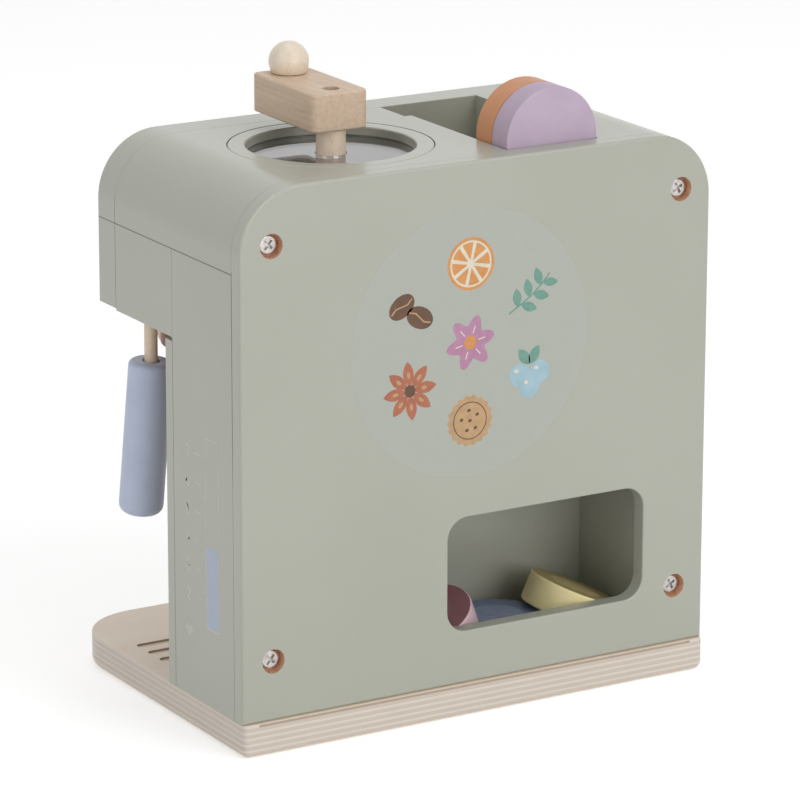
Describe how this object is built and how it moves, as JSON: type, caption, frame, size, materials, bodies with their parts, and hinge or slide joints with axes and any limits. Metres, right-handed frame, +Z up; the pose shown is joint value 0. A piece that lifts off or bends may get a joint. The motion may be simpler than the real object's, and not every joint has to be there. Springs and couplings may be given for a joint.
{
  "type": "toy coffee maker",
  "caption": "Wooden toy espresso machine with an overhanging head on a plywood base, a turning grinder crank, swivelling steam wand, slide-in portafilter and loose pods.",
  "frame": {"origin": "on the table, under the middle of the base plate", "axes": "+Z up, +Y out of the flat menu face, the head overhangs towards -Y, +X to the right seen from the front"},
  "size_m": [0.23, 0.1616, 0.2804],
  "materials": {
    "birch_ply": "bare birch plywood, sanded",
    "raw_board": "bare wood",
    "sage_paint": "satin sage-green paint on board",
    "clear_acrylic": "clear polished acrylic",
    "steel": "zinc-plated steel",
    "magnet": "nickel-plated magnet",
    "beech": "bare beech, sanded",
    "wand_blue": "satin grey-blue paint on wood",
    "terracotta_paint": "satin terracotta paint on wood",
    "lilac_paint": "satin lilac paint on wood",
    "orange_paint": "satin orange paint on wood",
    "blue_paint": "satin blue paint on wood",
    "yellow_paint": "satin yellow paint on wood",
    "pink_paint": "satin pink paint on wood"
  },
  "bodies": {
    "machine": {"base_plate": "birch_ply", "base_screws": "steel", "rear_posts": "raw_board", "front_posts": "raw_board", "menu_board": "sage_paint", "menu_screws": "steel", "side_board_right": "sage_paint", "side_board_left": "sage_paint", "column_board": "sage_paint", "head_floor_board": "sage_paint", "head_front_board": "sage_paint", "top_shell": "sage_paint", "recess_floor": "sage_paint", "tray_floor": "sage_paint", "tray_sides": "sage_paint", "tray_ceiling": "sage_paint", "grinder_ring": "sage_paint", "grinder_window": "clear_acrylic", "hopper_drum": "sage_paint", "hopper_floor": "sage_paint", "group_head": "beech", "group_screws": "steel", "group_magnets": "magnet"},
    "crank": {"crank_shaft": "beech", "grinder_rotor": "beech", "shaft_collar": "beech", "collar_pin": "steel", "crank_arm": "beech", "crank_screw": "steel"},
    "knob": {"crank_knob": "beech", "knob_screw": "steel"},
    "wand": {"wand_plug": "beech", "wand_dowel": "beech", "wand_sleeve": "wand_blue"},
    "portafilter": {"portafilter_cup": "terracotta_paint", "portafilter_handle": "beech", "filter_magnets": "magnet"},
    "blue_pod": {"pod_blue": "blue_paint"},
    "yellow_pod": {"pod_yellow": "yellow_paint"},
    "pink_pod": {"pod_pink": "pink_paint"},
    "lilac_disc": {"disc_lilac": "lilac_paint"},
    "orange_disc": {"disc_orange": "orange_paint"}
  },
  "joints": [
    {"name": "crank_turn", "type": "hinge", "parent": "machine", "child": "crank", "pos_m": [0.0391, 0.02165, 0.2428], "axis": [0, 0, 1], "continuous": true},
    {"name": "knob_spin", "type": "hinge", "parent": "crank", "child": "knob", "pos_m": [0.03872, -0.01475, 0.2669], "axis": [0, 0, 1], "continuous": true},
    {"name": "wand_swivel", "type": "hinge", "parent": "machine", "child": "wand", "pos_m": [0.1018, -0.02385, 0.1685], "axis": [0, 0, 1], "range_deg": [-25, 75]},
    {"name": "portafilter_slide", "type": "slide", "parent": "machine", "child": "portafilter", "axis": [0, -1, 0], "range_m": [0, 0.06]},
    {"name": "blue_pod_lift", "type": "slide", "parent": "machine", "child": "blue_pod", "axis": [0, 0, 1], "range_m": [0, 0.022]},
    {"name": "yellow_pod_lift", "type": "slide", "parent": "blue_pod", "child": "yellow_pod", "axis": [0, 0, 1], "range_m": [0, 0.022]},
    {"name": "pink_pod_lift", "type": "slide", "parent": "blue_pod", "child": "pink_pod", "axis": [0, 0, 1], "range_m": [0, 0.022]},
    {"name": "lilac_disc_lift", "type": "slide", "parent": "machine", "child": "lilac_disc", "axis": [0, 0, 1], "range_m": [0, 0.025]},
    {"name": "orange_disc_lift", "type": "slide", "parent": "machine", "child": "orange_disc", "axis": [0, 0, 1], "range_m": [0, 0.025]}
  ]
}
